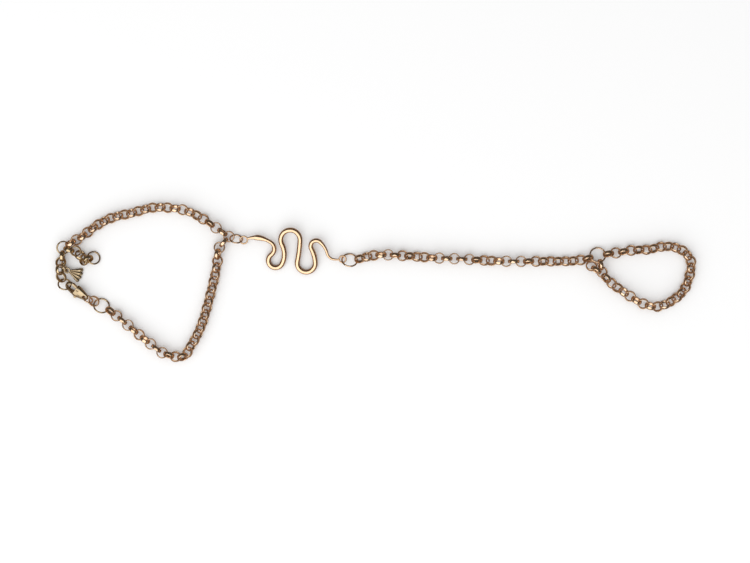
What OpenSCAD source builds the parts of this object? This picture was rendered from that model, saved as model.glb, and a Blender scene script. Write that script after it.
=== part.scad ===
// Hand chain bracelet: a wrist chain with a lobster clasp and an extender, a serpent
// connector, a chain over the back of the hand and a loop for one finger.
// It lies loose on a surface. Millimetres, +Z up, origin at the middle of what it rests on.

/* [Chain] */
// Outer diameter of one chain link
link_d = 3.6; // [3.5:0.02:4]
// Width of a link's band
link_w = 1.1; // [0.9:0.05:1.2]
// Thickness of a link's band
link_t = 0.38; // [0.34:0.01:0.44]
// Space left between two pieces that pass through each other
link_gap = 0.13; // [0.11:0.01:0.2]

/* [Jump rings] */
// Outer diameter of the small jump rings
small_ring_d = 4.4; // [4:0.1:5]
// Outer diameter of the large jump rings
large_ring_d = 5.3; // [4.8:0.1:6]
// Outer diameter of the ring that carries the charm
charm_ring_d = 3.4; // [3:0.1:3.8]
// Wire of every jump ring
ring_wire = 0.5; // [0.4:0.01:0.56]
// Width of the butt joint in a jump ring
ring_joint = 0.06; // [0.04:0.01:0.12]

/* [Serpent] */
// Length of the serpent along its bends
snake_l = 73; // [66:0.5:80]
// Width of the serpent's body
snake_w = 1.55; // [1.2:0.05:1.9]
// Thickness of the serpent's body
snake_t = 1.4; // [1.1:0.05:1.8]
// Outer diameter of the eye at the head
head_eye_d = 2.8; // [2.7:0.05:3.2]
// Outer diameter of the eye at the tail
tail_eye_d = 2.6; // [2.5:0.05:3]
// Wire of the two eyes
eye_wire = 0.5; // [0.4:0.01:0.56]

/* [Clasp] */
// Length of the clasp from claw to tail
clasp_l = 8.4; // [8:0.1:9.5]
// Width of the clasp at its belly
clasp_w = 4; // [3.8:0.1:4.6]
// Thickness of the clasp at its belly
clasp_t = 2.1; // [2:0.05:2.6]
// Width of the claw
claw_w = 3.3; // [3.1:0.1:3.7]
// Thickness of the claw
claw_t = 1.25; // [1.1:0.05:1.5]
// Width of the throat inside the claw
throat_w = 1.8; // [1.6:0.05:2]
// Reach of the throat from the claw's end
throat_reach = 3.6; // [3.4:0.1:3.8]
// Reach of the claw's nose from the claw's end
nose_reach = 1.7; // [1.6:0.05:1.9]
// Diameter of the hole in the clasp's tail
tail_hole_d = 1.3; // [1.1:0.05:1.4]
// Wall round the hole in the clasp's tail
tail_wall = 0.55; // [0.45:0.05:0.7]
// Thickness of the clasp's tail
tail_t = 1.2; // [1:0.05:1.4]
// Distance of the lever's pin from the claw's end
pin_x = 4.4; // [4.3:0.05:4.7]
// Distance of the lever's pin from the clasp's middle line
pin_y = 0.9; // [0.8:0.05:1]
// Diameter of the lever's pin
pin_d = 0.6; // [0.5:0.02:0.7]
// Length of the lever's pin
pin_l = 1.9; // [1.7:0.05:2]
// Thickness of the lever
lever_t = 0.9; // [0.7:0.05:1]
// Width of the lever's arms
lever_w = 0.7; // [0.6:0.05:0.8]
// Diameter of the lever's hub
hub_d = 1.4; // [1.3:0.05:1.5]
// Diameter of the lever's thumb knob
knob_d = 0.85; // [0.75:0.05:1]
// Distance of the thumb knob from the claw's end
knob_x = 4.6; // [4.4:0.1:5]
// Distance of the thumb knob from the clasp's middle line
knob_y = 2.05; // [1.9:0.05:2.3]
// How far the lever opens, in degrees
lever_open = 20; // [15:1:22]
// Space between the pin and the lever's bore, all round
pin_gap = 0.04; // [0.02:0.01:0.06]
// Space between the pin and the body's bore, all round
pin_seat = 0.02; // [0.01:0.01:0.03]
// Space between the lever and the walls of its slot
slot_gap = 0.08; // [0.06:0.01:0.12]

/* [Charm] */
// Length of the fan charm's ribbed blade
fan_l = 3.7; // [3.2:0.1:4.4]
// Half of the angle that the fan spreads over
fan_spread = 30; // [26:1:38]
// How far each rib stands out of the fan's edge
fan_lobe = 0.35; // [0.2:0.05:0.5]
// Thickness of the fan at the crest of a rib
fan_t = 0.9; // [0.7:0.05:1.2]
// Number of ribs
fan_ribs = 4; // [3:1:6]
// Diameter of the fan's hole
fan_hole_d = 1.1; // [1:0.05:1.2]
// Diameter of the tab round the hole
fan_tab_d = 2; // [1.9:0.05:2.4]

/* [Hidden] */
$fn = 48;

// The hand-chosen points that the loose chains lie on. Each row holds
// [x, y, twist in degrees, spacing as a share of a taut chain's].
UPPER_ROUTE = [
    [-51, 16.8, 20, 0.98], [-55.5, 19.8, 20, 0.98], [-60.5, 22, 20, 0.97], [-66, 22.8, 35, 0.96],
    [-71, 22.7, 40, 0.94], [-77, 21.1, 40, 0.92], [-83, 19.7, 40, 0.9], [-88, 17.2, 45, 0.87],
    [-92.5, 13.8, 45, 0.86]];
SIDE_ROUTE = [
    [-49.8, 9.8, 45, 0.88], [-50.2, 5.2, 45, 0.88], [-51.4, -0.5, 45, 0.88],
    [-52.9, -6.5, 45, 0.88], [-54.6, -12.5, 45, 0.88], [-56.7, -17.6, 45, 0.88],
    [-59, -21.4, 45, 0.88]];
LOWER_ROUTE = [
    [-63.5, -23.7, 45, 0.92], [-67, -22.8, 40, 0.94], [-70.5, -20.3, 30, 0.96],
    [-75, -16.7, 25, 0.98], [-79, -13.3, 25, 0.98], [-82.8, -10.2, 25, 0.98]];
HAND_ROUTE = [
    [0, 8, 20, 0.93], [9, 7.7, 22, 0.94], [13, 7.4, 45, 0.96], [19, 7, 80, 0.97],
    [27, 6.7, 90, 0.98], [33, 6.3, 120, 0.96], [41, 6, 175, 0.96], [49, 6, 200, 0.97],
    [55.5, 6, 235, 0.96], [61, 6.1, 270, 0.97], [65, 6.7, 270, 0.97]];
FINGER_ROUTE = [
    [75, 8.7, 90, 0.98], [80, 9.5, 110, 0.98], [85, 9.7, 130, 0.96], [90, 10.7, 130, 0.95],
    [95, 9.7, 135, 0.92], [98, 6.5, 135, 0.88], [98, 2.5, 135, 0.86], [96, -3, 135, 0.86],
    [92, -6.5, 130, 0.9], [87.5, -8.2, 120, 0.94], [82.5, -7, 115, 0.97], [78, -4.2, 115, 0.97],
    [74, -1.4, 115, 0.96], [70.6, 1.9, 105, 0.95]];
// Links that lie loose by themselves: [x, y, height of the centre, yaw, tilt]
EXTENDER_SPOTS = [
    [-98.7, 7.7, 1.85, -95, 90], [-99.2, 5.7, 1.65, -110, 25], [-99.4, 3.4, 2.1, 90, 65],
    [-99.1, 1.1, 1.45, -45, 35]];
TAIL_SPOTS = [
    [-96.6, 9.65, 2, 160, 85], [-94.55, 9.25, 1.7, -10, 20], [-93.1, 7.9, 1.7, 140, 50],
    [-91.9, 6.45, 2.15, -85, 40], [-90.6, 6.6, 2.45, 30, 70]];
SPARE_SPOTS = [[68.4, 3.3, 2.4, -35, 80], [67, 4.6, 1.75, -175, 30]];
CLASP_SPOTS = [[-88.9, -6.5, 1.3, -31, 25]];
// The serpent's bends from head to tail. Each row holds
// [length as a share of snake_l, turn to the left in degrees].
SNAKE_BENDS = [
    [0.107, -50], [0.062, -110], [0.113, 208], [0.088, 53], [0.152, -210], [0.092, -9],
    [0.132, 195], [0.064, 24], [0.066, -158], [0.060, -35], [0.039, 66], [0.025, 16]];
// The serpent's thickness along its bends. Each row holds
// [place as a share of snake_l, width as a share of snake_w, height as a share of snake_t].
SNAKE_SECTIONS = [
    [0, 0.42, 0.45], [0.02, 0.66, 0.6], [0.045, 1.12, 0.84], [0.062, 1.04, 0.86],
    [0.085, 0.76, 0.8], [0.11, 0.74, 0.8], [0.15, 0.94, 0.95], [0.19, 1, 1], [0.78, 1, 1],
    [0.86, 0.86, 0.9], [0.92, 0.62, 0.7], [0.96, 0.5, 0.55], [1, 0.38, 0.42]];
SNAKE_SIDES = 16;
SNAKE_STEPS = 10;
SPLINE_STEPS = 8;
// How many links from its ends a chain takes to settle into its own twist and height
END_REACH = 6;

// Where the pieces that carry the chains lie
snake_at = [-41.9, 12.7];
snake_heading = 16;
snake_tilt = 8;
snake_hinge = -11;
finger_ring_at = [69, 8];
end_ring_at = [-98.4, 10.3];
catch_ring_at = [-98, -1.2];
tail_ring_at = [-89, 7.1];
charm_ring_at = [-97.95, 4.25];
fan_at = [-97.25, 3.2, 1.6];
fan_heading = -22;
fan_slope = 14;
clasp_ring_at = [-86.46, -7.9];
clasp_at = [-97.52, -0.84, 1.75];
clasp_yaw = -36;
clasp_roll = 30;

link_r = (link_d - link_t) / 2;
link_in = link_d / 2 - link_t;
link_half = (link_w - link_t) / 2;

rose = [0.78, 0.6, 0.48];
gold = [0.72, 0.6, 0.42];

// Vectors and frames
function unit(v) = v / norm(v);
function flat(a) = [cos(a), sin(a), 0];
function side_of(dir) = unit(cross(dir, [0, 0, 1]));
function up_of(dir) = cross(side_of(dir), dir);
// Normal of a ring that is rolled about the way it lies
function rolled(dir, roll) = cross(dir, cos(roll) * side_of(dir) + sin(roll) * up_of(dir));
// Normal of a ring that is tipped about a level line at the angle yaw
function tipped(yaw, tilt) = [sin(tilt) * sin(yaw), -sin(tilt) * cos(yaw), cos(tilt)];
// The roll at which a link lies square across a ring's wire
function square_roll(n, dir) =
    let (t = cross(n, dir)) atan2(-t * side_of(dir), t * up_of(dir));
// The angle nearest to goal among those a half turn apart
function nearest_roll(a, goal) = a + 180 * round((goal - a) / 180);

// A ring is [centre, normal, outer diameter, thickness, half of its flat width].
// The half is 0 for round wire.
function ring_r(r) = (r[2] - r[3]) / 2;
function ring_in(r) = r[2] / 2 - r[3];
function lean(n) = sqrt(1 - min(1, n.z * n.z));
// The height of the centre of a round-wire ring that rests on the surface
function rest_z(n, d, w) = w / 2 + (d - w) / 2 * lean(n);
function link(at, n) = [at, n, link_d, link_t, link_half];
// The point of a ring's wire on the side that faces along dir
function rim(r, dir) = r[0] + ring_r(r) * unit(dir - (dir * r[1]) * r[1]);
// How much a hole's round wall takes from what passes through it with a half width of x
function bow(r, x) = r - sqrt(r * r - x * x);
// How far beyond a ring's rim the centre of a link lies when it pulls on that ring
function hook(r) = link_in - bow(link_in, r[3] / 2 + r[4])
    - r[3] / 2 - bow(ring_in(r), link_w / 2) - link_gap;
// The spacing of the links in a taut chain
taut = 2 * (link_in - bow(link_in, link_w / 2)) - link_gap;

// Smooth curve through a list of rows
function bend4(a, b, c, d, t) =
    0.5 * (2 * b + (c - a) * t + (2 * a - 5 * b + 4 * c - d) * t * t
    + (3 * b - a - 3 * c + d) * t * t * t);
function smooth(p) = let (last = len(p) - 1) concat(
    [for (i = [0 : last - 1]) for (k = [0 : SPLINE_STEPS - 1])
        bend4(p[max(i - 1, 0)], p[i], p[i + 1], p[min(i + 2, last)], k / SPLINE_STEPS)],
    [p[last]]);
function running(v) = [for (i = 0, sum = 0; i <= len(v); sum = sum + (i < len(v) ? v[i] : 0),
    i = i + 1) sum];
function column(keys, rows, c) = [for (i = [0 : len(rows) - 1]) [keys[i], rows[i][c]]];

// The height of a link's centre when it rests with this roll
function lowest(roll) = link_t / 2 + link_r * abs(sin(roll)) + link_half * abs(cos(roll));
// How strongly the ring at an end sways the link that is k links away from it
function near(k) = max(0, 1 - k / END_REACH);

// The links of a chain that lies along a route from one ring to another
function strand(from, to, route) =
    let (
        first = route[0],
        last = route[len(route) - 1],
        a = from[0],
        b = to[0],
        way_a = unit([first.x - a.x, first.y - a.y, 0]),
        way_b = unit([last.x - b.x, last.y - b.y, 0]),
        rim_a = rim(from, way_a),
        rim_b = rim(to, way_b),
        path = smooth(concat([[rim_a.x, rim_a.y, 0, first[3]]], route,
            [[rim_b.x, rim_b.y, 0, last[3]]])),
        steps = [for (i = [1 : len(path) - 1])
            norm([path[i].x - path[i - 1].x, path[i].y - path[i - 1].y])],
        along = running(steps),
        packed = running([for (i = [0 : len(steps) - 1])
            steps[i] / (taut * (path[i][3] + path[i + 1][3]) / 2)]),
        by_length = [for (i = [0 : len(along) - 1]) [along[i], packed[i]]],
        u0 = lookup(hook(from) * first[3], by_length),
        u1 = lookup(along[len(along) - 1] - hook(to) * last[3], by_length),
        n = ceil(u1 - u0) + 1,
        spots = [for (i = [0 : n - 1]) u0 + (u1 - u0) * i / (n - 1)],
        xs = column(packed, path, 0),
        ys = column(packed, path, 1),
        keys = [for (i = [0 : len(route) - 1]) packed[(i + 1) * SPLINE_STEPS]],
        roll_a = nearest_roll(square_roll(from[1], way_a), first[2]),
        roll_b = nearest_roll(-square_roll(to[1], way_b) - 90 * (n - 1), last[2]),
        twists = column(keys, route, 2),
        turn_a = roll_a - lookup(u0, twists),
        turn_b = roll_b - lookup(u1, twists),
        rolls = [for (i = [0 : n - 1])
            lookup(spots[i], twists) + 90 * (i % 2)
            + turn_a * near(i) + turn_b * near(n - 1 - i)],
        heights = [for (i = [0 : n - 1])
            let (
                low = lowest(rolls[i]),
                level = max(low, lowest(rolls[i] + 90)),
                near_a = near(i),
                near_b = near(n - 1 - i)
            )
            max(low, level * (1 - near_a - near_b) + rim_a.z * near_a + rim_b.z * near_b)],
        places = [for (i = [0 : n - 1]) [lookup(spots[i], xs), lookup(spots[i], ys), heights[i]]],
        line = concat([rim_a], places, [rim_b])
    )
    [for (i = [0 : n - 1])
        link(places[i], rolled(unit(line[i + 2] - line[i]), rolls[i]))];

// A link that hangs on another ring, in a direction and at a share of the full reach
function hung(from, yaw, share, roll, lift) =
    let (
        dir = flat(yaw),
        edge = rim(from, dir),
        spot = edge + share * hook(from) * dir
    )
    link([spot.x, spot.y, lift], rolled(dir, roll));

function placed(spots) =
    [for (s = spots) link([s[0], s[1], s[2]], tipped(s[3], s[4]))];

// A flat bar with round ends
module bar(a, b, w) {
    way = b - a;
    translate(a) circle(d = w);
    translate(b) circle(d = w);
    translate(a)
        rotate([0, 0, atan2(way.y, way.x)])
            translate([0, -w / 2])
                square([norm(way), w]);
}

// A ring's cross-section: a band for a link and a circle for round wire
module section(r) {
    if (r[4] > 0)
        bar([ring_r(r), -r[4]], [ring_r(r), r[4]], r[3]);
    else
        translate([ring_r(r), 0]) circle(d = r[3]);
}
// One ring: whole, or with the butt joint of a jump ring
module torus(r) {
    n = r[1];
    translate(r[0])
        rotate([0, acos(n.z), atan2(n.y, n.x)])
            rotate_extrude()
                section(r);
}
module jump_ring(r, joint_at) {
    n = r[1];
    opening = ring_joint / ring_r(r) * 180 / PI;
    translate(r[0])
        rotate([0, acos(n.z), atan2(n.y, n.x)])
            rotate([0, 0, joint_at])
                rotate_extrude(angle = 360 - opening)
                    section(r);
}
module links(list) {
    for (r = list) torus(r);
}

// Serpent: its centreline lies in a plane that is tipped up at both of its eyes
snake_r_head = (head_eye_d - eye_wire) / 2;
snake_r_tail = (tail_eye_d - eye_wire) / 2;
bend_turns = [for (b = SNAKE_BENDS) for (k = [1 : SNAKE_STEPS]) b[1] / SNAKE_STEPS];
bend_steps = [for (b = SNAKE_BENDS) for (k = [1 : SNAKE_STEPS]) b[0] * snake_l / SNAKE_STEPS];
snake_headings = [for (h = running(bend_turns)) snake_heading + h];
snake_moves = [for (i = [0 : len(bend_steps) - 1])
    bend_steps[i] * flat((snake_headings[i] + snake_headings[i + 1]) / 2)];
snake_start = snake_r_head * flat(snake_heading + 6);
snake_line = [for (i = 0, p = snake_start; i <= len(snake_moves);
    p = p + (i < len(snake_moves) ? snake_moves[i] : [0, 0, 0]), i = i + 1) p];
snake_places = [for (s = running(bend_steps)) s / snake_l];
tail_heading = snake_headings[len(snake_headings) - 1];
tail_eye_spot = snake_line[len(snake_line) - 1] + snake_r_tail * flat(tail_heading);
// The plane's tip turns a point about the level line at snake_hinge
snake_up = tipped(snake_hinge, snake_tilt);
function tip(p) =
    let (along = flat(snake_hinge), across = cross([0, 0, 1], along))
    (p * along) * along + (p * across) * cross(snake_up, along) + p.z * snake_up;
snake_z = snake_t / 2 - min([for (p = snake_line) tip(p).z]);
function on_snake(p) = [snake_at.x, snake_at.y, snake_z] + tip(p);
head_eye = [on_snake([0, 0, 0]), snake_up, head_eye_d, eye_wire, 0];
tail_eye = [on_snake(tail_eye_spot), snake_up, tail_eye_d, eye_wire, 0];

module serpent() {
    widths = [for (s = SNAKE_SECTIONS) [s[0], s[1] * snake_w / 2]];
    depths = [for (s = SNAKE_SECTIONS) [s[0], s[2] * snake_t / 2]];
    count = len(snake_line);
    points = [for (i = [0 : count - 1]) for (k = [0 : SNAKE_SIDES - 1])
        let (
            turn = 360 * k / SNAKE_SIDES,
            across = flat(snake_headings[i] + 90)
        )
        on_snake(snake_line[i] + lookup(snake_places[i], widths) * cos(turn) * across
            + [0, 0, lookup(snake_places[i], depths) * sin(turn)])];
    walls = [for (i = [0 : count - 2]) for (k = [0 : SNAKE_SIDES - 1])
        let (
            a = i * SNAKE_SIDES + k,
            b = i * SNAKE_SIDES + (k + 1) % SNAKE_SIDES
        )
        [a, a + SNAKE_SIDES, b + SNAKE_SIDES, b]];
    head_cap = [for (k = [0 : SNAKE_SIDES - 1]) k];
    tail_cap = [for (k = [SNAKE_SIDES - 1 : -1 : 0]) (count - 1) * SNAKE_SIDES + k];
    color(rose) union() {
        polyhedron(points, concat(walls, [head_cap], [tail_cap]));
        torus(head_eye);
        torus(tail_eye);
    }
}

// Jump rings and the link that joins the wrist chain to the serpent
function beside_eye(eye, yaw, play, tilt, d) =
    let (
        n = tipped(yaw, tilt),
        spare = ring_r(eye) - eye_wire / 2 - ring_wire / 2 - link_gap,
        reach = (d - ring_wire) / 2 + play * spare
    )
    [[eye[0].x + reach * cos(yaw), eye[0].y + reach * sin(yaw),
        max(rest_z(n, d, ring_wire), eye[0].z)], n, d, ring_wire, 0];
function lying(at, yaw, tilt, d, lift = 0) =
    let (n = tipped(yaw, tilt))
    [[at.x, at.y, rest_z(n, d, ring_wire) + lift], n, d, ring_wire, 0];

wrist_ring = beside_eye(head_eye, 172, 0.8, 50, small_ring_d);
hand_ring = beside_eye(tail_eye, -8, -0.6, -36, large_ring_d);
junction_link = hung(wrist_ring, 155, 0.55, 8, 1.75);
finger_ring = lying(finger_ring_at, 0, -20, large_ring_d, 0.55);
end_ring = lying(end_ring_at, 60, 24, small_ring_d, 0.7);
catch_ring = lying(catch_ring_at, -20, -36, small_ring_d, 0.36);
tail_ring = lying(tail_ring_at, 120, 25, small_ring_d);
charm_ring = lying(charm_ring_at, 120, 85, charm_ring_d, 0.35);
clasp_ring = lying(clasp_ring_at, -31, -30, large_ring_d);

// The link that turns the lowest corner of the wrist loop
corner_link = link([-61, -23.9, link_d / 2], tipped(20, 60));

upper_links = strand(junction_link, end_ring, UPPER_ROUTE);
side_links = strand(junction_link, corner_link, SIDE_ROUTE);
lower_links = strand(corner_link, clasp_ring, LOWER_ROUTE);
hand_links = strand(hand_ring, finger_ring, HAND_ROUTE);
finger_links = strand(finger_ring, finger_ring, FINGER_ROUTE);
extender_links = placed(EXTENDER_SPOTS);
tail_links = placed(TAIL_SPOTS);
spare_links = placed(SPARE_SPOTS);
// A loop of round wire passes through the clasp's tail and carries one link
clasp_loop = [[-90.65, -5.85, 1.75], tipped(-36, -60), link_d, ring_wire, 0];
clasp_links = concat([clasp_loop], placed(CLASP_SPOTS));

module junction_link() { color(rose) torus(junction_link); }
module wrist_ring() { color(rose) jump_ring(wrist_ring, 100); }
module hand_ring() { color(rose) jump_ring(hand_ring, 60); }
module finger_ring() { color(rose) jump_ring(finger_ring, 120); }
module end_ring() { color(gold) jump_ring(end_ring, 150); }
module catch_ring() { color(gold) jump_ring(catch_ring, 200); }
module tail_ring() { color(gold) jump_ring(tail_ring, 60); }
module charm_ring() { color(gold) jump_ring(charm_ring, 90); }
module clasp_ring() { color(gold) jump_ring(clasp_ring, 80); }
module wrist_chain_upper() { color(rose) links(upper_links); }
module wrist_chain_side() { color(rose) links(concat(side_links, [corner_link])); }
module wrist_chain_lower() { color(rose) links(lower_links); }
module hand_chain() { color(rose) links(hand_links); }
module finger_chain() { color(rose) links(finger_links); }
module spare_links() { color(rose) links(spare_links); }
module extender_chain() { color(gold) links(extender_links); }
module extender_tail() { color(gold) links(tail_links); }
module clasp_links() { color(rose) links(clasp_links); }

// Fan charm: a ribbed blade with a scalloped edge and a tab with a hole, flat in its own frame.
// Facets across one rib and along the blade
RIB_STEPS = 6;
BLADE_STEPS = 5;
// The blade starts inside the tab, at this share of the tab's radius
BLADE_ROOT = 0.6;
// Thickness of a groove and of the blade's inner end, as shares of fan_t, and of its thin rim
GROOVE_SHARE = 0.5;
ROOT_SHARE = 0.75;
RIM_SHARE = 0.5;
module fan_blade() {
    across = RIB_STEPS * fan_ribs;
    down = BLADE_STEPS;
    root = BLADE_ROOT * fan_tab_d / 2;
    blade = fan_tab_d / 2 - root + fan_l;
    points = [for (side = [1, -1]) for (j = [0 : down]) for (i = [0 : across])
        let (
            turn = fan_spread * (2 * i / across - 1),
            crest = sin(180 * (i % RIB_STEPS) / RIB_STEPS),
            share = j / down,
            r = root + share * (blade + fan_lobe * crest),
            ribbed = GROOVE_SHARE + (1 - GROOVE_SHARE) * crest,
            tapered = ROOT_SHARE + (1 - ROOT_SHARE) * share,
            half = fan_t / 2 * ribbed * tapered * (j == down ? RIM_SHARE : 1)
        )
        [r * cos(turn), r * sin(turn), side * half]];
    row = across + 1;
    sheet = row * (down + 1);
    top = [for (j = [0 : down - 1]) for (i = [0 : across - 1])
        [j * row + i, j * row + i + 1, (j + 1) * row + i + 1, (j + 1) * row + i]];
    bottom = [for (f = top) [for (k = [3 : -1 : 0]) f[k] + sheet]];
    inner = [for (i = [0 : across - 1]) [i + 1, i, i + sheet, i + 1 + sheet]];
    last = down * row;
    outer = [for (i = [0 : across - 1])
        [last + i, last + i + 1, last + i + 1 + sheet, last + i + sheet]];
    right = [for (j = [0 : down - 1])
        [j * row, (j + 1) * row, (j + 1) * row + sheet, j * row + sheet]];
    left = [for (j = [0 : down - 1])
        [(j + 1) * row + across, j * row + across, j * row + across + sheet,
            (j + 1) * row + across + sheet]];
    polyhedron(points, concat(top, bottom, inner, outer, right, left));
}
module fan_charm() {
    color(gold)
        translate(fan_at)
            rotate([0, fan_slope, fan_heading])
                difference() {
                    union() {
                        fan_blade();
                        cylinder(d = fan_tab_d, h = fan_t, center = true);
                    }
                    cylinder(d = fan_hole_d, h = 2 * fan_t, center = true);
                }
}

// Clasp in its own frame: x from the claw's end to the tail, y towards the gate, z through it
claw_at = [claw_w / 2, 0];
belly_at = [clasp_l / 2, 0];
eye_r = tail_hole_d / 2 + tail_wall;
eye_at = [clasp_l - eye_r, 0];
pin_at = [pin_x, pin_y];
gate_at = [nose_reach + slot_gap + lever_w / 2, (claw_w - lever_w) / 2];
knob_at = [knob_x, -knob_y];
module in_clasp() {
    translate(clasp_at) rotate([0, 0, clasp_yaw]) rotate([clasp_roll, 0, 0]) children();
}
module round_disc(d, t) {
    rotate_extrude($fn = 32)
        intersection() {
            translate([(d - t) / 2, 0]) circle(d = t, $fn = 16);
            translate([0, -t]) square([d, 2 * t]);
        }
}
// The ground that a straight arm covers as it turns about the pin
module swept(tip, w) {
    arm = tip - pin_at;
    reach = norm(arm) + w / 2;
    start = atan2(arm.y, arm.x);
    open_tip = pin_at + norm(arm) * [cos(start + lever_open), sin(start + lever_open)];
    bar(pin_at, tip, w);
    bar(pin_at, open_tip, w);
    polygon(concat([pin_at], [for (k = [0 : 8])
        pin_at + reach * [cos(start + lever_open * k / 8), sin(start + lever_open * k / 8)]]));
}
module clasp_body() {
    color(gold) in_clasp() difference() {
        hull() {
            translate(claw_at) round_disc(claw_w, claw_t);
            translate(belly_at) round_disc(clasp_w, clasp_t);
            translate(eye_at) round_disc(2 * eye_r, tail_t);
        }
        // Throat and mouth
        linear_extrude(2 * clasp_t, center = true) {
            bar(claw_at, [throat_reach - throat_w / 2, 0], throat_w);
            translate([nose_reach, 0])
                square([throat_reach - nose_reach, clasp_w]);
        }
        // Slot that the lever turns in
        linear_extrude(lever_t + 2 * slot_gap, center = true) {
            translate(pin_at) circle(d = hub_d + 2 * slot_gap);
            swept(gate_at, lever_w + 2 * slot_gap);
            swept(knob_at, knob_d + 2 * slot_gap);
            translate([nose_reach, pin_y])
                square([pin_x - nose_reach, clasp_w]);
        }
        translate(pin_at) cylinder(d = pin_d + 2 * pin_seat, h = 2 * clasp_t, center = true);
        translate(eye_at) cylinder(d = tail_hole_d, h = 2 * clasp_t, center = true);
    }
}
module clasp_pin() {
    color(gold) in_clasp()
        translate(pin_at)
            cylinder(d = pin_d, h = pin_l, center = true);
}
module clasp_lever() {
    color(gold) in_clasp() difference() {
        linear_extrude(lever_t, center = true) {
            translate(pin_at) circle(d = hub_d);
            bar(pin_at, gate_at, lever_w);
            bar(pin_at, knob_at, lever_w);
            translate(knob_at) circle(d = knob_d);
        }
        translate(pin_at) cylinder(d = pin_d + 2 * pin_gap, h = 2 * lever_t, center = true);
    }
}

wrist_chain_upper();
wrist_chain_side();
wrist_chain_lower();
junction_link();
wrist_ring();
serpent();
hand_ring();
hand_chain();
finger_ring();
finger_chain();
spare_links();
end_ring();
extender_chain();
catch_ring();
extender_tail();
tail_ring();
charm_ring();
fan_charm();
clasp_body();
clasp_pin();
clasp_lever();
clasp_links();
clasp_ring();
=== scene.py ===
"""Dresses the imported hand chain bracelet: links, rings, serpent, charm and clasp.

The frame gives every piece its place. Lengths are in metres unless a name ends in MM.
"""

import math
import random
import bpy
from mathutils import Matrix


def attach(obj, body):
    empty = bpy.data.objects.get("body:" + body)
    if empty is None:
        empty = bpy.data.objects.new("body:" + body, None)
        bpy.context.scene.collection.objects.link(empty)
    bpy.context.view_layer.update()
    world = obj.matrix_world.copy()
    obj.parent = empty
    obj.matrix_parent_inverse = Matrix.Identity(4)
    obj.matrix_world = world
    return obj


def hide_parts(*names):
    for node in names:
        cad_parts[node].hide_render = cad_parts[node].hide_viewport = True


bl_info = {
    "name": "Hand Chain Bracelet",
    "version": (1, 0, 0),
    "blender": (4, 5, 0),
    "location": "View3D > Sidebar > Bracelet",
    "description": "Builds the finished metal of a hand chain bracelet round its CAD frame",
    "category": "Add Mesh",
}

import bmesh
import bpy
import numpy as np
from mathutils import Vector

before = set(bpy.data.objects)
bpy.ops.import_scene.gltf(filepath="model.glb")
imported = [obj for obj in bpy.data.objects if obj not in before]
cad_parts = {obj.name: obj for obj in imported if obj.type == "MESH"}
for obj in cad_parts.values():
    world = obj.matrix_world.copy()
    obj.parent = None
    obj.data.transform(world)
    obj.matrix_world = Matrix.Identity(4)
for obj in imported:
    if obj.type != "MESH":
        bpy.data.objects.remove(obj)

MM = 0.001
MAIN_BODY = "bracelet"
LEVER_BODY = "lever"

# The nodes whose links and jump rings are rebuilt, sorted by their metal
ROSE_CHAINS = (
    "wrist_chain_upper",
    "wrist_chain_side",
    "wrist_chain_lower",
    "hand_chain",
    "finger_chain",
    "spare_links",
    "clasp_links",
    "junction_link",
)
GOLD_CHAINS = ("extender_chain", "extender_tail")
ROSE_RINGS = ("wrist_ring", "hand_ring", "finger_ring")
GOLD_RINGS = ("end_ring", "catch_ring", "tail_ring", "charm_ring", "clasp_ring")

# The photograph's frame in millimetres on the surface
VIEW_WIDTH_MM = 235.1
VIEW_CENTRE_MM = (-0.78, -0.31)
VIEW_LEVEL_MM = 1.2
LENS_MM = 85.0
SENSOR_MM = 36.0

# The serpent's bends from head to tail, as in the part's source. Each row holds
# (length as a share of the serpent's length, turn to the left in degrees).
SERPENT_BENDS = (
    (0.107, -50), (0.062, -110), (0.113, 208), (0.088, 53), (0.152, -210), (0.092, -9),
    (0.132, 195), (0.064, 24), (0.066, -158), (0.060, -35), (0.039, 66), (0.025, 16),
)
# Its thickness along the bends. Each row holds
# (place as a share of the length, share of the full width, share of the full height).
SERPENT_SECTIONS = (
    (0, 0.42, 0.45), (0.02, 0.66, 0.6), (0.045, 1.12, 0.84), (0.062, 1.04, 0.86),
    (0.085, 0.76, 0.8), (0.11, 0.74, 0.8), (0.15, 0.94, 0.95), (0.19, 1, 1), (0.78, 1, 1),
    (0.86, 0.86, 0.9), (0.92, 0.62, 0.7), (0.96, 0.5, 0.55), (1, 0.38, 0.42),
)
SERPENT_AT_MM = (-41.9, 12.7)
SERPENT_HEADING = 16
SERPENT_TILT = 8
SERPENT_HINGE = -11
# How square its cross-section is: 2 is an ellipse
SERPENT_POWER = 2.3
# How far from its heading the neck leaves the eye at the head
SERPENT_NECK = 6

# A ring whose width is more than this share of its thickness is a band
BAND_SHARE = 1.5
# A face whose normal runs along the wire by this share is an end of a joint
END_FACE_SHARE = 0.98
# A ring's axis with more than this share along X takes its side from Y
NEAR_X_SHARE = 0.9
# The chamfer at a joint's ends as a share of the wire, and how thick the wire is there
CHAMFER_SHARE = 0.12
CHAMFER_END = 0.84
# How much of the way each round of polishing moves a corner
POLISH_FACTOR = 0.5
# How many times as many rounds the clasp's body takes as the other castings
CLASP_SOFTER = 2
# Two corners nearer than this are one
SAME_SPOT = 0.0001 * MM
# Segments round an eye of the serpent and round its wire
EYE_STEPS = 72
EYE_SIDES = 24

# The noise of the dull patches, from where it starts to where it is full
PATCH_RANGE = (0.42, 0.68)
# The least share of those patches that a link takes, by its own tone
TONE_LEAST = 0.55
# How dull a soldered seam is
SEAM_DULLING = 0.35
# How near a neighbour must be before metal is rubbed, and how much of it then is
RUB_RANGE = (0.35, 0.95)
RUB_COVERS = 0.8
# The noise of the haze, and how much finer it is than the patches
HAZE_RANGE = (0.45, 0.75)
HAZE_FINER = 1.7
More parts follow.
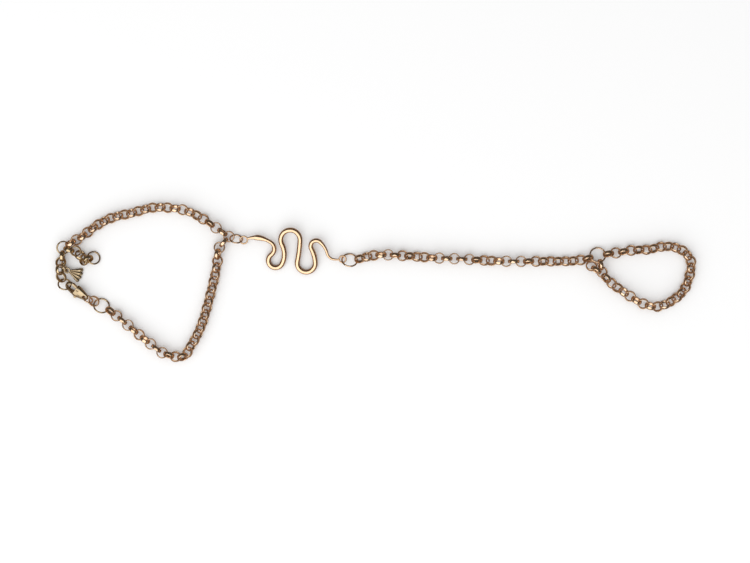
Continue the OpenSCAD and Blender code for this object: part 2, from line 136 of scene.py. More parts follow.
# The scratches run two ways, are tilted and drawn out, and are finer than the patches
SCRATCH_ANGLES = (0.35, 2.1)
SCRATCH_TILT = (0.2, 0.1)
SCRATCH_STRETCH = (1, 14, 14)
SCRATCH_RANGE = (0.62, 0.7)
SCRATCH_FINER = 2.6
# How deep scratches and waves look
RELIEF_DEPTH = 0.02 * MM

# The floor reaches this far each way and lies this far below the bracelet
FLOOR_REACH = 4.0
FLOOR_DROP = 0.02 * MM
FLOOR_ROUGHNESS = 0.9
# Where the soft light hangs, and how near to the camera a thing is still seen
KEY_LIGHT_AT = (-0.25, -0.55, 0.75)
NEAREST_SEEN = 0.01

# The rings that have been read from the frame, each with its node
RINGS = []


def colour_prop(name, description, default):
    """A colour that a user would change."""
    return bpy.props.FloatVectorProperty(
        name=name, description=description, default=default, size=3, min=0, max=1,
        subtype="COLOR",
    )


def length_prop(name, description, default_mm):
    """A length in metres whose default is written in millimetres."""
    return bpy.props.FloatProperty(
        name=name, description=description, default=default_mm * MM, min=0,
        subtype="DISTANCE", unit="LENGTH", precision=5,
    )


def count_prop(name, description, default, low):
    """A whole number of segments."""
    return bpy.props.IntProperty(name=name, description=description, default=default, min=low)


def amount_prop(name, description, default):
    """A plain number that isn't below nothing."""
    return bpy.props.FloatProperty(name=name, description=description, default=default, min=0)


def power_prop(name, description, default):
    """The power of a light in watts."""
    return bpy.props.FloatProperty(
        name=name, description=description, default=default, min=0, unit="POWER"
    )


def share_prop(name, description, default):
    """A share between nothing and all."""
    return bpy.props.FloatProperty(
        name=name, description=description, default=default, min=0, max=1, subtype="FACTOR"
    )


class StageSettings(bpy.types.PropertyGroup):
    """Floor, light and surroundings"""

    floor_colour: colour_prop("Floor", "Colour of the plain floor", (0.95, 0.95, 0.95))
    bounce_colour: colour_prop(
        "Bounce", "Colour of the floor as the metal mirrors it", (0.34, 0.25, 0.19)
    )
    room_colour: colour_prop("Room", "Colour of the dim room round the floor", (1, 0.92, 0.85))
    room_strength: amount_prop("Room strength", "How bright the room is", 0.08)
    dome_colour: colour_prop("Dome", "Colour of the soft light all round", (1, 1, 1))
    dome_strength: amount_prop("Dome strength", "How much that light whitens the floor", 0.64)
    key_power: power_prop("Key power", "Power of the large soft light", 8.8)
    key_size: length_prop("Key size", "Width of the large soft light", 1400)


class MetalSettings(bpy.types.PropertyGroup):
    """Colours and polish of the plated metal"""

    # The links' rose is set lighter than the serpent's. It is partly the links' own rose gold
    # and partly a painted highlight that stands in for the brighter glints on the thin wire.
    rose_and_highlight: colour_prop("Rose gold", "Colour of the polished rose links", (0.97, 0.71, 0.48))
    serpent: colour_prop("Serpent", "Colour of the polished serpent", (0.94, 0.66, 0.42))
    rose_dull: colour_prop("Rose tarnish", "Colour of dulled rose gold", (0.42, 0.22, 0.13))
    rose_rubbed: colour_prop("Rose rubbed", "Colour where links rub", (0.96, 0.79, 0.62))
    gold: colour_prop("Pale gold", "Colour of the polished pale gold", (0.76, 0.58, 0.35))
    cast: colour_prop("Cast gold", "Colour of the clasp and the charm", (0.60, 0.47, 0.30))
    gold_dull: colour_prop("Gold tarnish", "Colour of dulled pale gold", (0.30, 0.21, 0.12))
    gold_rubbed: colour_prop("Gold rubbed", "Colour where rings rub", (0.90, 0.79, 0.60))
    polish: share_prop("Polish", "Roughness of the polished metal", 0.13)
    haze: share_prop("Haze", "Roughness of the hazy patches", 0.32)


class RingSettings(bpy.types.PropertyGroup):
    """Links and jump rings"""

    ring_steps: count_prop("Ring steps", "Segments round a link", 56, 12)
    wire_steps: count_prop("Wire steps", "Segments round the wire", 20, 6)
    inner_power: amount_prop("Inner power", "How flat a band is inside: 2 is round", 3.5)
    seam_width: length_prop("Seam width", "Width of a link's soldered seam", 0.3)
    seam_pinch: share_prop("Seam pinch", "How much thinner the wire is at its seam", 0.1)
    rub_reach: length_prop("Rub reach", "How near a neighbour must be to rub", 0.42)


class SerpentSettings(bpy.types.PropertyGroup):
    """Serpent connector"""

    length: length_prop("Length", "Length of the serpent along its bends", 73)
    width: length_prop("Width", "Width of the body", 1.55)
    height: length_prop("Height", "Thickness of the body", 1.4)
    head_eye: length_prop("Head eye", "Outer diameter of the eye at the head", 2.8)
    tail_eye: length_prop("Tail eye", "Outer diameter of the eye at the tail", 2.6)
    eye_wire: length_prop("Eye wire", "Wire of the two eyes", 0.5)
    bend_steps: count_prop("Bend steps", "Segments in each bend", 26, 4)
    sides: count_prop("Sides", "Segments round the body", 28, 8)


class FineSettings(bpy.types.PropertyGroup):
    """Charm and clasp"""

    clasp_cell: length_prop("Clasp cells", "Cells that the clasp is rebuilt at", 0.05)
    lever_cell: length_prop("Lever cells", "Cells that the lever is rebuilt at", 0.04)
    charm_cell: length_prop("Charm cells", "Cells that the charm is rebuilt at", 0.045)
    pin_cell: length_prop("Pin cells", "Cells that the pin is rebuilt at", 0.03)
    polish_rounds: count_prop("Polish rounds", "How far the edges are softened", 8, 0)


# Meshes


def new_mesh(name, verts, faces):
    """A mesh from its corners and faces."""
    mesh = bpy.data.meshes.new(name)
    mesh.from_pydata([tuple(v) for v in verts], [], faces)
    return mesh


def new_object(name, data):
    """An object of the scene that shows a mesh, a light or a camera."""
    thing = bpy.data.objects.new(name, data)
    bpy.context.scene.collection.objects.link(thing)
    return thing


def finished_piece(name, mesh, node, body, metal_name):
    """A piece that stands for a CAD node, rides on a body and wears a metal."""
    mesh.shade_smooth()
    mesh.materials.clear()
    mesh.materials.append(bpy.data.materials[metal_name])
    piece = new_object(name, mesh)
    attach(piece, body)
    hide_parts(node)


def set_mask(mesh, name, values):
    """Keeps one number for each corner under a name that the materials read."""
    mask = mesh.attributes.new(name, "FLOAT", "POINT")
    mask.data.foreach_set("value", np.asarray(values, np.float32))


def baked(helper):
    """The mesh that a helper's modifiers make. The helper is deleted."""
    graph = bpy.context.evaluated_depsgraph_get()
    mesh = bpy.data.meshes.new_from_object(helper.evaluated_get(graph))
    plain = helper.data
    bpy.data.objects.remove(helper)
    bpy.data.meshes.remove(plain)
    return mesh


def tube_faces(rows, sides, closed):
    """The faces of a tube whose corners are listed ring by ring."""
    faces = []
    for i in range(rows if closed else rows - 1):
        j = (i + 1) % rows
        for k in range(sides):
            m = (k + 1) % sides
            faces.append((i * sides + k, j * sides + k, j * sides + m, i * sides + m))
    if not closed:
        faces.append(tuple(range(sides)))
        faces.append(tuple((rows - 1) * sides + k for k in reversed(range(sides))))
    return faces


def rounded(angle, power):
    """A point of a superellipse: 2 is a circle, more is squarer."""
    c, s = math.cos(angle), math.sin(angle)
    scale = (abs(c) ** power + abs(s) ** power) ** (-1 / power)
    return c * scale, s * scale


# Rings


def islands(node):
    """The corners and faces of each separate solid of a CAD node."""
    bm = bmesh.new()
    bm.from_mesh(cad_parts[node].data)
    bmesh.ops.remove_doubles(bm, verts=bm.verts, dist=SAME_SPOT)
    bm.verts.ensure_lookup_table()
    seen = set()
    found = []
    for start in bm.verts:
        if start.index in seen:
            continue
        seen.add(start.index)
        group = [start]
        for vert in group:
            for edge in vert.link_edges:
                other = edge.other_vert(vert)
                if other.index not in seen:
                    seen.add(other.index)
                    group.append(other)
        faces = {face for vert in group for face in vert.link_faces}
        found.append((
            np.array([v.co for v in group]),
            [(np.array(f.normal), np.array(f.calc_center_median())) for f in faces],
        ))
    bm.free()
    return found


def read_ring(points, faces):
    """Centre, axis, radii and, for a jump ring, where its joint is."""
    middle = points.mean(0)
    axis = np.linalg.svd(points - middle, full_matrices=False)[2][2]
    if axis[2] < 0:
        axis = -axis
    side = np.cross(axis, (1.0, 0, 0) if abs(axis[0]) < NEAR_X_SHARE else (0, 1.0, 0))
    side /= np.linalg.norm(side)
    across = np.cross(axis, side)
    level = np.stack([(points - middle) @ side, (points - middle) @ across], 1)
    system = np.column_stack([2 * level, np.ones(len(level))])
    fit = np.linalg.lstsq(system, (level ** 2).sum(1), rcond=None)[0]
    centre = middle + fit[0] * side + fit[1] * across
    away = points - centre
    height = away @ axis
    radius = np.linalg.norm(away - height[:, None] * axis, axis=1)
    ends = []
    for normal, spot in faces:
        out = spot - centre
        out -= (out @ axis) * axis
        along = np.cross(axis, out / np.linalg.norm(out))
        if abs(normal @ along) > END_FACE_SHARE:
            ends.append((math.atan2(out @ across, out @ side), normal @ along > 0))
    joint = None
    if ends:
        first = np.angle(np.mean([np.exp(1j * a) for a, ahead in ends if not ahead]))
        last = np.angle(np.mean([np.exp(1j * a) for a, ahead in ends if ahead]))
        joint = (first, last if last > first else last + 2 * math.pi)
    thick = radius.max() - radius.min()
    width = height.max() - height.min()
    return {
        "centre": centre, "axis": axis, "side": side, "across": across, "joint": joint,
        "radius": (radius.max() + radius.min()) / 2, "thick": thick, "width": width,
        "half": max(0.0, (width - thick) / 2), "band": width > BAND_SHARE * thick,
    }


def ring_mesh(ring, settings, seam_turn):
    """Corners, faces and the seam mask of one link or jump ring."""
    steps = settings.ring_steps
    sides = settings.wire_steps
    closed = ring["joint"] is None
    first, last = (0, 2 * math.pi) if closed else ring["joint"]
    count = steps if closed else steps + 1
    turns = [first + (last - first) * i / steps for i in range(count)]
    chamfer = CHAMFER_SHARE * ring["thick"] / ring["radius"]
    if not closed:
        turns = [turns[0], turns[0] + chamfer] + turns[1:-1] + [turns[-1] - chamfer, turns[-1]]
    verts, seam = [], []
    for i, turn in enumerate(turns):
        out = math.cos(turn) * ring["side"] + math.sin(turn) * ring["across"]
        gap = (turn - seam_turn + math.pi) % (2 * math.pi) - math.pi
        near = math.exp(-(2 * gap * ring["radius"] / settings.seam_width) ** 2) if closed else 0
        share = 1 - settings.seam_pinch * near
        if not closed and i in (0, len(turns) - 1):
            share *= CHAMFER_END
        for k in range(sides):
            angle = 2 * math.pi * k / sides
            inside = ring["band"] and math.cos(angle) < 0
            deep, wide = rounded(angle, settings.inner_power if inside else 2)
            spot = ring["radius"] + share * ring["thick"] / 2 * deep
            verts.append(ring["centre"] + spot * out
                         + share * ring["width"] / 2 * wide * ring["axis"])
            seam.append(near)
    return verts, tube_faces(len(turns), sides, closed), seam


def all_rings():
    """Every ring of the model with the node it belongs to, read once."""
    if not RINGS:
        for node in ROSE_CHAINS + GOLD_CHAINS + ROSE_RINGS + GOLD_RINGS:
            RINGS.extend((node, read_ring(*island)) for island in islands(node))
    return RINGS


def rub_mask(points, own, rings, reach):
    """How near each point lies to the wire of another ring, from 0 to 1."""
    best = np.full(len(points), reach)
    for ring in rings:
        span = own["radius"] + ring["radius"] + reach
        if ring is own or np.linalg.norm(ring["centre"] - own["centre"]) > span:
            continue
        away = points - ring["centre"]
        height = away @ ring["axis"]
        out = np.linalg.norm(away - height[:, None] * ring["axis"], axis=1)
        beyond = np.maximum(np.abs(height) - ring["half"], 0)
        best = np.minimum(best, np.hypot(out - ring["radius"], beyond))
    return 1 - best / reach


def build_rings(context, nodes, metal_name, suffix):
    """Rebuilds the links or the jump ring of each node as one piece."""
    settings = context.scene.bracelet_rings
    rings = all_rings()
    everything = [ring for _, ring in rings]
    for node in nodes:
        draw = random.Random(node)
        verts, faces, seam, rub, tone = [], [], [], [], []
        for ring in [r for owner, r in rings if owner == node]:
            own = ring_mesh(ring, settings, draw.uniform(0, 2 * math.pi))
            start = len(verts)
            faces += [tuple(i + start for i in face) for face in own[1]]
            verts += own[0]
            seam += own[2]
            rub.extend(rub_mask(np.array(own[0]), ring, everything, settings.rub_reach))
            tone += [draw.random()] * len(own[0])
        mesh = new_mesh(node + suffix, verts, faces)
        mesh.validate()
        peak = max(rub)
        set_mask(mesh, "rub", np.array(rub) / peak if peak > 0 else rub)
        set_mask(mesh, "seam", seam)
        set_mask(mesh, "tone", tone)
        finished_piece(node + suffix, mesh, node, MAIN_BODY, metal_name)


# Serpent


def flat(angle):
    """A level direction, from its angle in degrees."""
    return Vector((math.cos(math.radians(angle)), math.sin(math.radians(angle)), 0))


def tipped(yaw, tilt):
    """The normal of a plane that is tipped about a level line."""
    lean, turn = math.radians(tilt), math.radians(yaw)
    return Vector((math.sin(lean) * math.sin(turn), -math.sin(lean) * math.cos(turn),
                   math.cos(lean)))


def between(rows, place, column):
    """A smooth value between the rows of a table whose first column is the place."""
    if place <= rows[0][0]:
        return rows[0][column]
    for a, b in zip(rows, rows[1:]):
        if place <= b[0]:
            t = (place - a[0]) / (b[0] - a[0])
            t = t * t * (3 - 2 * t)
            return a[column] + (b[column] - a[column]) * t
    return rows[-1][column]


def serpent_path(settings):
    """Spots, headings and places as shares along the serpent, before it is tipped."""
    steps = settings.bend_steps
    heading = SERPENT_HEADING
    spot = (settings.head_eye - settings.eye_wire) / 2 * flat(heading + SERPENT_NECK)
    place = 0
    spots, headings, places = [spot.copy()], [heading], [0]
    for share, turn in SERPENT_BENDS:
        for _ in range(steps):
            spot = spot + share * settings.length / steps * flat(heading + turn / steps / 2)
            heading += turn / steps
            place += share / steps
            spots.append(spot)
            headings.append(heading)
            places.append(place)
    return spots, headings, places


def serpent_frame(spots, settings):
    """A function that lays a point of the serpent's own plane down in the row frame."""
    up = tipped(SERPENT_HINGE, SERPENT_TILT)
    along = flat(SERPENT_HINGE)
    across = Vector((0, 0, 1)).cross(along)
    slope = up.cross(along)

    def tip(p):
        return p.dot(along) * along + p.dot(across) * slope + p.z * up

    lift = settings.height / 2 - min(tip(p).z for p in spots)
    origin = Vector((SERPENT_AT_MM[0] * MM, SERPENT_AT_MM[1] * MM, lift))
    return lambda p: origin + tip(p)


def eye_ring(centre, normal, diameter, wire):
    """Corners and faces of one of the serpent's eyes."""
    side = normal.orthogonal().normalized()
    other = normal.cross(side)
    verts = []
    for i in range(EYE_STEPS):
        turn = 2 * math.pi * i / EYE_STEPS
        out = math.cos(turn) * side + math.sin(turn) * other
        for k in range(EYE_SIDES):
            angle = 2 * math.pi * k / EYE_SIDES
            spot = (diameter - wire) / 2 + wire / 2 * math.cos(angle)
            verts.append(centre + spot * out + wire / 2 * math.sin(angle) * normal)
    return verts, tube_faces(EYE_STEPS, EYE_SIDES, True)


def fused(base, parts):
    """One mesh of a helper object and the parts that are fused to it."""
    for part in parts:
        modifier = base.modifiers.new("fuse", "BOOLEAN")
        modifier.operation = "UNION"
        modifier.solver = "EXACT"
        modifier.object = part
    mesh = baked(base)
    for part in parts:
        bpy.data.objects.remove(part)
    return mesh


def drop_slivers(mesh):
    """Takes out the pairs of faces with nothing between them that a fused seam leaves."""
    bm = bmesh.new()
    bm.from_mesh(mesh)
    bmesh.ops.triangulate(bm, faces=bm.faces)
    bmesh.ops.remove_doubles(bm, verts=bm.verts, dist=SAME_SPOT)
    alike = {}
    for face in bm.faces:
        alike.setdefault(frozenset(face.verts), []).append(face)
    flat_pairs = [face for group in alike.values() if len(group) > 1 for face in group]
    bmesh.ops.delete(bm, geom=flat_pairs, context="FACES")
    bm.to_mesh(mesh)
    bm.free()


def serpent_body(settings):
    """Corners and faces of the swept body, and the centres of its two eyes."""
    spots, headings, places = serpent_path(settings)
    lay = serpent_frame(spots, settings)
    sides = settings.sides
    verts = []
    for spot, heading, place in zip(spots, headings, places):
        half_w = between(SERPENT_SECTIONS, place, 1) * settings.width / 2
        half_h = between(SERPENT_SECTIONS, place, 2) * settings.height / 2
        across = flat(heading + 90)
        for k in range(sides):
            c, s = rounded(2 * math.pi * k / sides, SERPENT_POWER)
            verts.append(lay(spot + half_w * c * across + Vector((0, 0, half_h * s))))
    tail_radius = (settings.tail_eye - settings.eye_wire) / 2
    head = lay(Vector((0, 0, 0)))
    tail = lay(spots[-1] + tail_radius * flat(headings[-1]))
    return verts, tube_faces(len(spots), sides, False), head, tail


def build_serpent(context):
    """The serpent with its two eyes, fused into one piece."""
    settings = context.scene.bracelet_serpent
    verts, faces, head, tail = serpent_body(settings)
    body = new_object("serpent_helper", new_mesh("serpent_helper", verts, faces))
    up = tipped(SERPENT_HINGE, SERPENT_TILT)
    eyes = []
    for centre, diameter in ((head, settings.head_eye), (tail, settings.tail_eye)):
        ring = eye_ring(centre, up, diameter, settings.eye_wire)
        eyes.append(new_object("eye_helper", new_mesh("eye_helper", *ring)))
    mesh = fused(body, eyes)
    drop_slivers(mesh)
    finished_piece("serpent_body", mesh, "serpent", MAIN_BODY, "serpent_metal")


# Clasp and charm


def cast_piece(node, name, body, cell, rounds, metal_name):
    """Rebuilds a CAD node with the soft edges of a cast and polished piece."""
    helper = new_object(name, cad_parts[node].data.copy())
    grid = helper.modifiers.new("cells", "REMESH")
    grid.mode = "VOXEL"
    grid.voxel_size = cell
    polish = helper.modifiers.new("polish", "SMOOTH")
    polish.factor = POLISH_FACTOR
    polish.iterations = rounds
    finished_piece(name, baked(helper), node, body, metal_name)


# Materials


def new_group(name, inputs, outputs):
    """An empty shader node group with named sockets."""
    group = bpy.data.node_groups.new(name, "ShaderNodeTree")
    for label, kind, default in inputs:
        socket = group.interface.new_socket(label, in_out="INPUT", socket_type=kind)
        socket.default_value = default
    for label, kind in outputs:
        group.interface.new_socket(label, in_out="OUTPUT", socket_type=kind)
    start = group.nodes.new("NodeGroupInput")
    end = group.nodes.new("NodeGroupOutput")
    return group, start.outputs, end.inputs


def add(tree, kind, links=(), **values):
    """One node with its links. Values starting with in_ set sockets by their index."""
    node = tree.nodes.new(kind)
    for key, value in values.items():
        if key.startswith("in_"):
            node.inputs[int(key[3:])].default_value = value
        else:
            setattr(node, key, value)
    for source, target in links:
        tree.links.new(source, node.inputs[target])
    return node


def rescaled(tree, source, low, high, new_low=0.0, new_high=1.0):
    """A value moved from one range to another and held inside it."""
    node = add(tree, "ShaderNodeMapRange", [(source, 0)])
    for socket, value in zip(node.inputs[1:5], (low, high, new_low, new_high)):
        socket.default_value = value
    return node.outputs[0]


def combined(tree, operation, first, second):
    """One value worked out from two."""
    return add(tree, "ShaderNodeMath", [(first, 0), (second, 1)], operation=operation).outputs[0]


def blended(tree, share, first, second):
    """A colour between two."""
    return add(tree, "ShaderNodeMix", [(share, 0), (first, 6), (second, 7)],
               data_type="RGBA").outputs[2]


def worn_tone_group():
    """Colour of plated metal: polished, dulled in patches and bright where it rubs."""
    tree, given, result = new_group(
        "Worn metal tone",
        [("Polished", "NodeSocketColor", (0.8, 0.6, 0.4, 1)),
         ("Dulled", "NodeSocketColor", (0.3, 0.2, 0.1, 1)),
         ("Rubbed", "NodeSocketColor", (0.9, 0.8, 0.6, 1)),
         ("Patch size", "NodeSocketFloat", 600.0),
         ("Dulling", "NodeSocketFloat", 0.4)],
        [("Colour", "NodeSocketColor"), ("Dull", "NodeSocketFloat")],
    )
    place = add(tree, "ShaderNodeTexCoord").outputs["Object"]
    rub = add(tree, "ShaderNodeAttribute", attribute_name="rub").outputs["Fac"]
    seam = add(tree, "ShaderNodeAttribute", attribute_name="seam").outputs["Fac"]
    tone = add(tree, "ShaderNodeAttribute", attribute_name="tone").outputs["Fac"]
    patches = add(tree, "ShaderNodeTexNoise", [(place, 0), (given["Patch size"], 2)])
    patches.inputs["Detail"].default_value = 5.0
    patches.inputs["Roughness"].default_value = 0.6
    blotch = rescaled(tree, patches.outputs[0], *PATCH_RANGE)
    shade = rescaled(tree, tone, 0.0, 1.0, TONE_LEAST, 1.0)
    dull = combined(tree, "MULTIPLY", blotch, given["Dulling"])
    dull = combined(tree, "MULTIPLY", dull, shade)
    solder = add(tree, "ShaderNodeMath", [(seam, 0)], operation="MULTIPLY",
                 in_1=SEAM_DULLING).outputs[0]
    dull = combined(tree, "MAXIMUM", dull, solder)
    mixed = blended(tree, dull, given["Polished"], given["Dulled"])
    worn = rescaled(tree, rub, *RUB_RANGE, 0.0, RUB_COVERS)
    mixed = blended(tree, worn, mixed, given["Rubbed"])
    tree.links.new(mixed, result["Colour"])
    tree.links.new(dull, result["Dull"])


def polish_group():
    """Roughness of polished metal with a faint haze."""
    tree, given, result = new_group(
        "Polish and haze",
        [("Polish", "NodeSocketFloat", 0.12), ("Haze", "NodeSocketFloat", 0.3),
         ("Haze size", "NodeSocketFloat", 900.0), ("Dull", "NodeSocketFloat", 0.0)],
        [("Roughness", "NodeSocketFloat")],
    )
    place = add(tree, "ShaderNodeTexCoord").outputs["Object"]
    cloud = add(tree, "ShaderNodeTexNoise", [(place, 0), (given["Haze size"], 2)])
    cloud.inputs["Detail"].default_value = 4.0
    share = rescaled(tree, cloud.outputs[0], *HAZE_RANGE)
    share = combined(tree, "MAXIMUM", share, given["Dull"])
    rough = add(tree, "ShaderNodeMix", [(share, 0), (given["Polish"], 2), (given["Haze"], 3)])
    tree.links.new(rough.outputs[0], result["Roughness"])


def scratch_group():
    """Height of hairline scratches in two directions and a faint cast waviness."""
    tree, given, result = new_group(
        "Hairlines",
        [("Scratch size", "NodeSocketFloat", 900.0), ("Scratches", "NodeSocketFloat", 0.3),
         ("Wave size", "NodeSocketFloat", 500.0), ("Waves", "NodeSocketFloat", 0.6)],
        [("Height", "NodeSocketFloat")],
    )
    place = add(tree, "ShaderNodeTexCoord").outputs["Object"]
    total = None
    for angle in SCRATCH_ANGLES:
        turned = add(tree, "ShaderNodeMapping", [(place, 0)])
        turned.inputs["Rotation"].default_value = (*SCRATCH_TILT, angle)
        turned.inputs["Scale"].default_value = SCRATCH_STRETCH
        grain = add(tree, "ShaderNodeTexNoise",
                    [(turned.outputs[0], 0), (given["Scratch size"], 2)])
        line = rescaled(tree, grain.outputs[0], *SCRATCH_RANGE)
        total = line if total is None else combined(tree, "MAXIMUM", total, line)
    scratch = combined(tree, "MULTIPLY", total, given["Scratches"])
    swell = add(tree, "ShaderNodeTexNoise", [(place, 0), (given["Wave size"], 2)])
    wave = combined(tree, "MULTIPLY", swell.outputs[0], given["Waves"])
    height = combined(tree, "SUBTRACT", wave, scratch)
    tree.links.new(height, result["Height"])


def placed_group(tree, name, **values):
    """A node group in a material, with its inputs set by name."""
    node = tree.nodes.new("ShaderNodeGroup")
    node.node_tree = bpy.data.node_groups[name]
    for label, value in values.items():
        node.inputs[label.replace("_", " ")].default_value = value
    return node


def metal_material(name, colours, polish, haze, dulling, patches, bump):
    """Plated metal with its own wear."""
    material = bpy.data.materials.new(name)
    material.use_nodes = True
    tree = material.node_tree
    shader = tree.nodes["Principled BSDF"]
    shader.inputs["Metallic"].default_value = 1.0
    polished, dulled, rubbed = (tuple(c) + (1.0,) for c in colours)
    tone = placed_group(tree, "Worn metal tone", Polished=polished, Dulled=dulled,
                        Rubbed=rubbed, Patch_size=patches, Dulling=dulling)
    gloss = placed_group(tree, "Polish and haze", Polish=polish, Haze=haze,
                         Haze_size=patches * HAZE_FINER)
    relief = placed_group(tree, "Hairlines", Scratch_size=patches * SCRATCH_FINER)
    tree.links.new(tone.outputs["Colour"], shader.inputs["Base Color"])
    tree.links.new(tone.outputs["Dull"], gloss.inputs["Dull"])
    tree.links.new(gloss.outputs["Roughness"], shader.inputs["Roughness"])
    dent = add(tree, "ShaderNodeBump", [(relief.outputs["Height"], "Height")])
    dent.inputs["Strength"].default_value = bump
    dent.inputs["Distance"].default_value = RELIEF_DEPTH
    tree.links.new(dent.outputs["Normal"], shader.inputs["Normal"])


# Stage


def two_colours(tree, share, first, second):
    """A mix of two of the settings' colours."""
    return add(tree, "ShaderNodeMix", [(share, 0)], data_type="RGBA",
               in_6=tuple(first) + (1,), in_7=tuple(second) + (1,)).outputs[2]


def lay_floor(settings):
    """The plain pale floor."""
    corners = [(x * FLOOR_REACH, y * FLOOR_REACH, -FLOOR_DROP)
               for x, y in ((-1, -1), (1, -1), (1, 1), (-1, 1))]
    floor = new_object("floor", new_mesh("floor", corners, [(0, 1, 2, 3)]))
    paint = bpy.data.materials.new("pale_floor")
    paint.use_nodes = True
    tree = paint.node_tree
    shader = tree.nodes["Principled BSDF"]
    shader.inputs["Roughness"].default_value = FLOOR_ROUGHNESS
    mirrored = add(tree, "ShaderNodeLightPath").outputs["Is Glossy Ray"]
    colour = two_colours(tree, mirrored, settings.floor_colour, settings.bounce_colour)
    tree.links.new(colour, shader.inputs["Base Color"])
    floor.data.materials.append(paint)


def fill_room(scene, settings):
    """A bright dome for the floor, and a dim warm room for the metal to mirror."""
    world = bpy.data.worlds.new("room")
    world.use_nodes = True
    tree = world.node_tree
    sky = tree.nodes["Background"]
    mirrored = add(tree, "ShaderNodeLightPath").outputs["Is Glossy Ray"]
    colour = two_colours(tree, mirrored, settings.dome_colour, settings.room_colour)
    tree.links.new(colour, sky.inputs["Color"])
    bright = rescaled(tree, mirrored, 0, 1, settings.dome_strength, settings.room_strength)
    tree.links.new(bright, sky.inputs["Strength"])
    scene.world = world


def hang_light(settings):
    """One large soft light that faces the bracelet."""
    light = bpy.data.lights.new("key_light", "AREA")
    light.size = settings.key_size
    light.energy = settings.key_power
    lamp = new_object("key_light", light)
    lamp.location = KEY_LIGHT_AT
    lamp.rotation_euler = (-Vector(KEY_LIGHT_AT)).to_track_quat("-Z", "Y").to_euler()


def place_camera(scene):
    """The camera that looks straight down as the photograph does."""
    lens = bpy.data.cameras.new("overhead")
    lens.lens = LENS_MM
    lens.sensor_width = SENSOR_MM
    lens.clip_start = NEAREST_SEEN
    camera = new_object("overhead", lens)
    reach = VIEW_WIDTH_MM * LENS_MM / SENSOR_MM
    camera.location = Vector((*VIEW_CENTRE_MM, VIEW_LEVEL_MM + reach)) * MM
    scene.camera = camera


# Operators


class BRACELET_OT_stage(bpy.types.Operator):
    """Lay the pale floor, hang the soft light and set the camera overhead"""

    bl_idname = "bracelet.stage"
    bl_label = "Stage"

    def execute(self, context):
        """Makes the floor, the room, the light and the camera."""
        scene = context.scene
        scene.view_settings.view_transform = "Standard"
        lay_floor(scene.bracelet_stage)
        fill_room(scene, scene.bracelet_stage)
        hang_light(scene.bracelet_stage)
        place_camera(scene)
        return {"FINISHED"}


class BRACELET_OT_finishes(bpy.types.Operator):
    """Mix the plated metals that the pieces take"""

    bl_idname = "bracelet.finishes"
    bl_label = "Finishes"

    def execute(self, context):
        """Makes the shared effects and a material for each kind of piece."""
        worn_tone_group()
        polish_group()
        scratch_group()
        look = context.scene.bracelet_metal
        # The links' rose carries a painted highlight: it is lighter than the serpent's colour to
        # stand in for the brighter glints on the thin wire.
        rose_and_highlight = (look.rose_and_highlight, look.rose_dull, look.rose_rubbed)
        bright = (look.serpent, look.rose_dull, look.rose_rubbed)
        gold = (look.gold, look.gold_dull, look.gold_rubbed)
        cast = (look.cast, look.gold_dull, look.gold_rubbed)
        for name, colours in (("rose_wire", rose_and_highlight), ("gold_wire", gold)):
            metal_material(name, colours, polish=look.polish, haze=look.haze, dulling=0.5,
                           patches=500, bump=0.3)
        metal_material("serpent_metal", bright, polish=0.09, haze=0.24, dulling=0.22,
                       patches=320, bump=0.35)
        metal_material("charm_metal", cast, polish=0.17, haze=0.42, dulling=0.75,
                       patches=600, bump=0.5)
        metal_material("clasp_metal", cast, polish=0.15, haze=0.4, dulling=0.75,
                       patches=400, bump=0.45)
        return {"FINISHED"}


class BRACELET_OT_chains(bpy.types.Operator):
    """Form the links of every chain"""

    bl_idname = "bracelet.chains"
    bl_label = "Chains"

    def execute(self, context):
        """Rebuilds each chain node as fine links."""
        build_rings(context, ROSE_CHAINS, "rose_wire", "_links")
        build_rings(context, GOLD_CHAINS, "gold_wire", "_links")
        return {"FINISHED"}


class BRACELET_OT_jump_rings(bpy.types.Operator):
    """Bend the jump rings that join the chains to the other pieces"""

    bl_idname = "bracelet.jump_rings"
    bl_label = "Jump rings"

    def execute(self, context):
        """Rebuilds each jump ring with its butt joint."""
        build_rings(context, ROSE_RINGS, "rose_wire", "_wire")
        build_rings(context, GOLD_RINGS, "gold_wire", "_wire")
        return {"FINISHED"}


class BRACELET_OT_serpent(bpy.types.Operator):
    """Model the serpent connector with its two eyes"""

    bl_idname = "bracelet.serpent"
    bl_label = "Serpent"

    def execute(self, context):
        """Sweeps the body along its bends and fuses the eyes to it."""
        build_serpent(context)
        return {"FINISHED"}


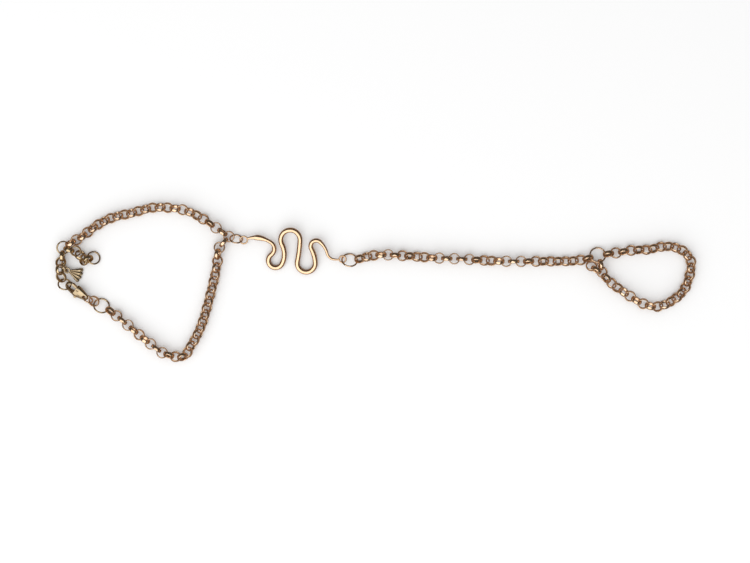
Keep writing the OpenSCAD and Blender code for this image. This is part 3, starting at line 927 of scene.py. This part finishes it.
class BRACELET_OT_clasp(bpy.types.Operator):
    """Finish the clasp and the charm"""

    bl_idname = "bracelet.clasp"
    bl_label = "Clasp and charm"

    def execute(self, context):
        """Rebuilds the cast solids with soft edges."""
        fine = context.scene.bracelet_fine
        rounds = fine.polish_rounds
        body_rounds = CLASP_SOFTER * rounds
        cast_piece("clasp_body", "clasp_cast", MAIN_BODY, fine.clasp_cell, body_rounds,
                   "clasp_metal")
        cast_piece("clasp_lever", "lever_cast", LEVER_BODY, fine.lever_cell, rounds,
                   "clasp_metal")
        cast_piece("clasp_pin", "pin_rivet", MAIN_BODY, fine.pin_cell, rounds, "clasp_metal")
        cast_piece("fan_charm", "charm_cast", MAIN_BODY, fine.charm_cell, rounds,
                   "charm_metal")
        return {"FINISHED"}


class BRACELET_PT_panel(bpy.types.Panel):
    """Steps and settings of the bracelet"""

    bl_idname = "BRACELET_PT_panel"
    bl_label = "Hand chain bracelet"
    bl_space_type = "VIEW_3D"
    bl_region_type = "UI"
    bl_category = "Bracelet"

    def draw(self, context):
        """Lists each step and the settings it reads."""
        for operator in OPERATORS:
            self.layout.operator(operator.bl_idname)
        for name in SETTINGS:
            group = getattr(context.scene, name)
            box = self.layout.box()
            for key in group.bl_rna.properties.keys():
                if key not in ("rna_type", "name"):
                    box.prop(group, key)


SETTINGS = {
    "bracelet_stage": StageSettings,
    "bracelet_metal": MetalSettings,
    "bracelet_rings": RingSettings,
    "bracelet_serpent": SerpentSettings,
    "bracelet_fine": FineSettings,
}
OPERATORS = (
    BRACELET_OT_stage,
    BRACELET_OT_finishes,
    BRACELET_OT_chains,
    BRACELET_OT_jump_rings,
    BRACELET_OT_serpent,
    BRACELET_OT_clasp,
)


def register():
    """Adds the settings, the steps and the panel to Blender."""
    for name, group in SETTINGS.items():
        bpy.utils.register_class(group)
        setattr(bpy.types.Scene, name, bpy.props.PointerProperty(type=group))
    for operator in OPERATORS:
        bpy.utils.register_class(operator)
    bpy.utils.register_class(BRACELET_PT_panel)


def unregister():
    """Takes them away again."""
    bpy.utils.unregister_class(BRACELET_PT_panel)
    for operator in reversed(OPERATORS):
        bpy.utils.unregister_class(operator)
    for name, group in SETTINGS.items():
        delattr(bpy.types.Scene, name)
        bpy.utils.unregister_class(group)


def main():
    """Runs every step in order."""
    register()
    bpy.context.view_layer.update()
    for operator in OPERATORS:
        area, step = operator.bl_idname.split(".")
        getattr(getattr(bpy.ops, area), step)()
    bpy.context.view_layer.update()


if __name__ == "__main__":
    main()
